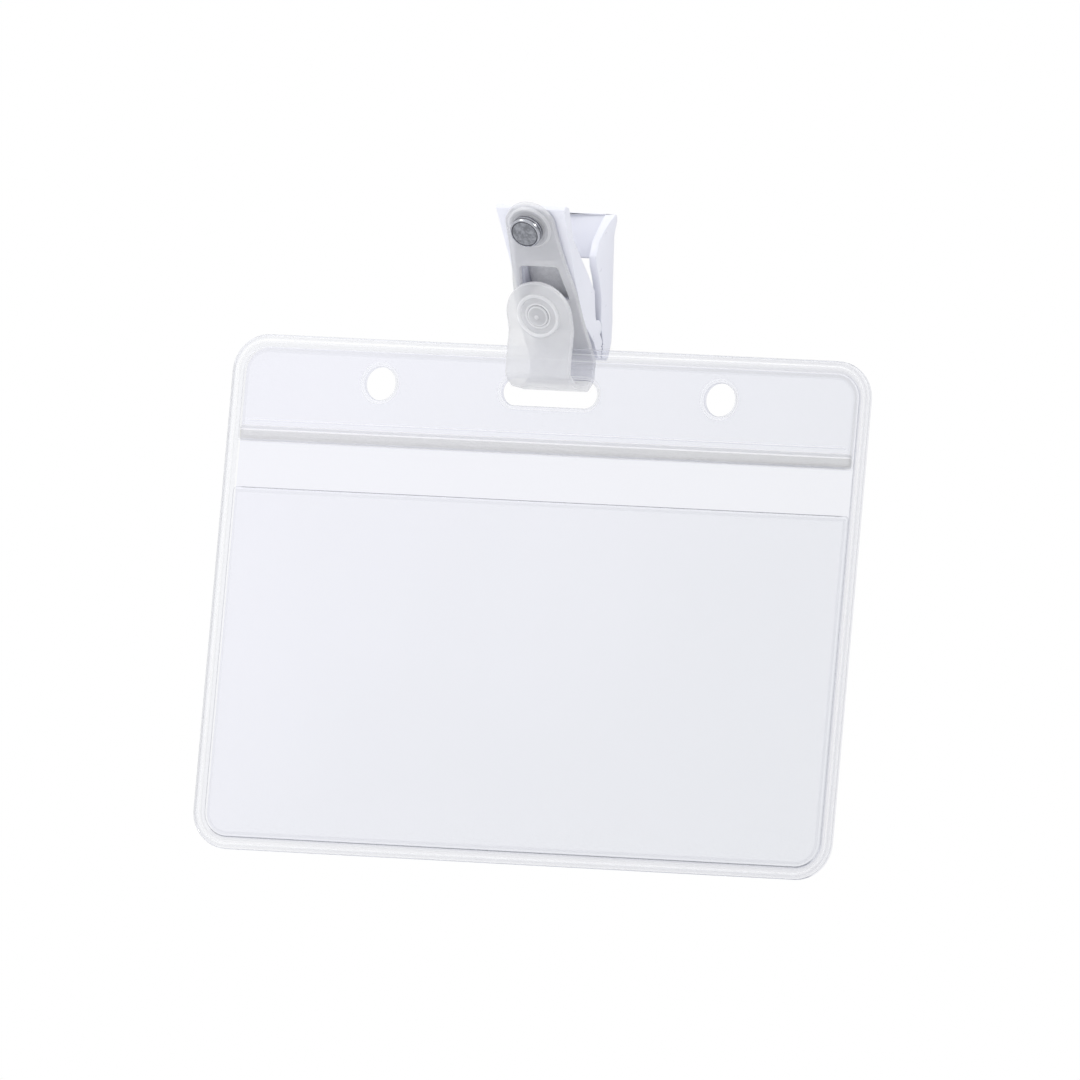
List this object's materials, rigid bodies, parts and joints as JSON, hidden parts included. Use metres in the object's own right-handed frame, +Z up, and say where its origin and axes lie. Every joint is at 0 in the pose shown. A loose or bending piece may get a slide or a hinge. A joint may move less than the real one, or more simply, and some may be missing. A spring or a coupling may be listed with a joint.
{
  "type": "badge holder with strap clip",
  "caption": "Clear horizontal card holder on a translucent snap strap, held by a steel rivet to a white plastic pinch clip that opens when its levers are squeezed.",
  "frame": {"origin": "middle of the grip between the clip's jaw tips", "axes": "X across the holder, Y towards its back so that the front faces -Y, Z up with the holder hanging below the clip"},
  "size_m": [0.1, 0.0237, 0.094],
  "materials": {
    "clear_pvc": "clear soft PVC, faintly blue",
    "frosted_strap": "translucent frosted vinyl",
    "rivet_steel": "satin, lightly mottled",
    "spring_steel": "satin spring steel",
    "white_plastic": "moulded, semi-gloss"
  },
  "bodies": {
    "clip_front": {"front_lever": "white_plastic", "rivet": "rivet_steel", "clip_spring": "spring_steel"},
    "clip_rear": {"rear_lever": "white_plastic"},
    "strap": {"strap_band": "frosted_strap"},
    "flap": {"strap_flap": "frosted_strap"},
    "pouch": {"pouch_back_sheet": "clear_pvc", "pouch_header_sheet": "clear_pvc", "pouch_pocket_sheet": "clear_pvc", "pouch_weld_rim": "clear_pvc"}
  },
  "joints": [
    {"name": "clip_squeeze", "type": "hinge", "parent": "clip_front", "child": "clip_rear", "pos_m": [0, -0.00215, 0.0031], "axis": [1, 0, 0], "range_deg": [0, 16], "stiffness_Nm_per_rad": 0.02, "springref_deg": -28.65, "deforming": ["clip_spring"]},
    {"name": "strap_swivel", "type": "hinge", "parent": "clip_front", "child": "strap", "pos_m": [0, -0.01712, 0.01625], "axis": [0, -0.788, -0.6157], "continuous": true},
    {"name": "pouch_swing", "type": "hinge", "parent": "strap", "child": "pouch", "pos_m": [0, -0.00619, -0.0049], "axis": [1, 0, 0], "range_deg": [-10, 35]},
    {"name": "flap_open", "type": "hinge", "parent": "strap", "child": "flap", "pos_m": [0, -0.00615, -0.0059], "axis": [1, 0, 0], "range_deg": [0, 50]}
  ]
}
